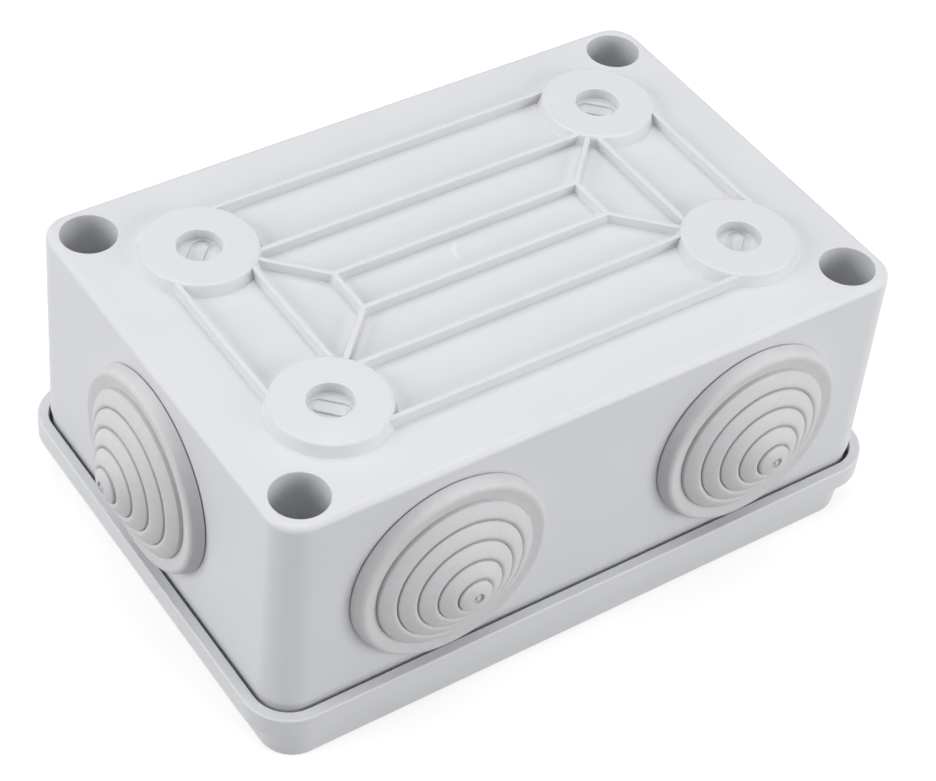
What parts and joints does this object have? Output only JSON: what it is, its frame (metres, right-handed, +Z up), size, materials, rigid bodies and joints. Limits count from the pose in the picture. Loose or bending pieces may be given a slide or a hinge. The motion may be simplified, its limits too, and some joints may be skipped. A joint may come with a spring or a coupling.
{
  "type": "junction box",
  "caption": "Grey plastic surface-mounting junction box with a screwed lid, stepped rubber cable grommets in its walls and a ribbed back with round fixing pads.",
  "frame": {"origin": "middle of the lid's face, on the surface that the box stands on", "axes": "+Z up from the lid's face to the mounting back, +X along the long side, -Y towards the front"},
  "size_m": [0.1366, 0.0976, 0.0537],
  "materials": {
    "shell": "satin moulded ABS, light grey",
    "grommet": "matt soft rubber, light grey",
    "seal": "matt foam rubber, dark grey",
    "screw": "satin moulded nylon, light grey"
  },
  "bodies": {
    "lid": {"lid": "shell", "lid_gasket": "seal"},
    "housing": {"base": "shell", "grommet_front_left": "grommet", "grommet_front_right": "grommet", "grommet_back_left": "grommet", "grommet_back_right": "grommet", "grommet_left_end": "grommet", "grommet_right_end": "grommet"},
    "screw_front_left": {"screw_front_left": "screw"},
    "screw_front_right": {"screw_front_right": "screw"},
    "screw_back_left": {"screw_back_left": "screw"},
    "screw_back_right": {"screw_back_right": "screw"}
  },
  "joints": [
    {"name": "housing_lift", "type": "slide", "parent": "lid", "child": "housing", "axis": [0, 0, 1], "range_m": [0, 0.04]},
    {"name": "screw_front_left_turn", "type": "hinge", "parent": "lid", "child": "screw_front_left", "pos_m": [-0.0525, -0.033, 0.0034], "axis": [0, 0, -1], "range_deg": [0, 90]},
    {"name": "screw_front_right_turn", "type": "hinge", "parent": "lid", "child": "screw_front_right", "pos_m": [0.0525, -0.033, 0.0034], "axis": [0, 0, -1], "range_deg": [0, 90]},
    {"name": "screw_back_left_turn", "type": "hinge", "parent": "lid", "child": "screw_back_left", "pos_m": [-0.0525, 0.033, 0.0034], "axis": [0, 0, -1], "range_deg": [0, 90]},
    {"name": "screw_back_right_turn", "type": "hinge", "parent": "lid", "child": "screw_back_right", "pos_m": [0.0525, 0.033, 0.0034], "axis": [0, 0, -1], "range_deg": [0, 90]}
  ]
}
